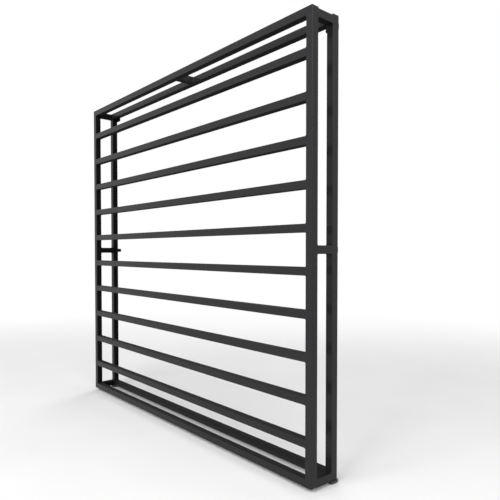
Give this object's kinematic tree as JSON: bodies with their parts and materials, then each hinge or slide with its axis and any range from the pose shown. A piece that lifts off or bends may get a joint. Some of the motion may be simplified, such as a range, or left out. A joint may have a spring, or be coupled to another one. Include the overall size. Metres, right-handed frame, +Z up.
{
  "type": "window grille",
  "caption": "Box-shaped window grille of welded square tube: a mitred front frame with level bars, held off the wall by short returns to a rear frame with drilled fixing lugs.",
  "frame": {"origin": "midway between the middle anchors, on the wall plane", "axes": "+X to the right across the window as seen from the front, +Y into the wall, +Z up"},
  "size_m": [1.493, 0.1198, 1.41],
  "materials": {
    "paint": "gloss",
    "plug": "moulded"
  },
  "bodies": {
    "root": {"front_top_rail": "paint", "front_bottom_rail": "paint", "front_left_upright": "paint", "front_right_upright": "paint", "bar_01": "paint", "bar_02": "paint", "bar_03": "paint", "bar_04": "paint", "bar_05": "paint", "bar_06": "paint", "bar_07": "paint", "bar_08": "paint", "bar_09": "paint", "bar_10": "paint", "rear_top_rail": "paint", "rear_bottom_rail": "paint", "rear_left_upright": "paint", "rear_right_upright": "paint", "return_top_left": "paint", "return_top_middle": "paint", "return_top_right": "paint", "return_left_middle": "paint", "return_right_middle": "paint", "return_bottom_left": "paint", "return_bottom_right": "paint", "lug_top_left": "paint", "lug_middle_left": "paint", "lug_top_right": "paint", "lug_middle_right": "paint", "top_plug_left": "plug", "top_plug_right": "plug", "foot_left": "plug", "foot_right": "plug"}
  },
  "joints": []
}
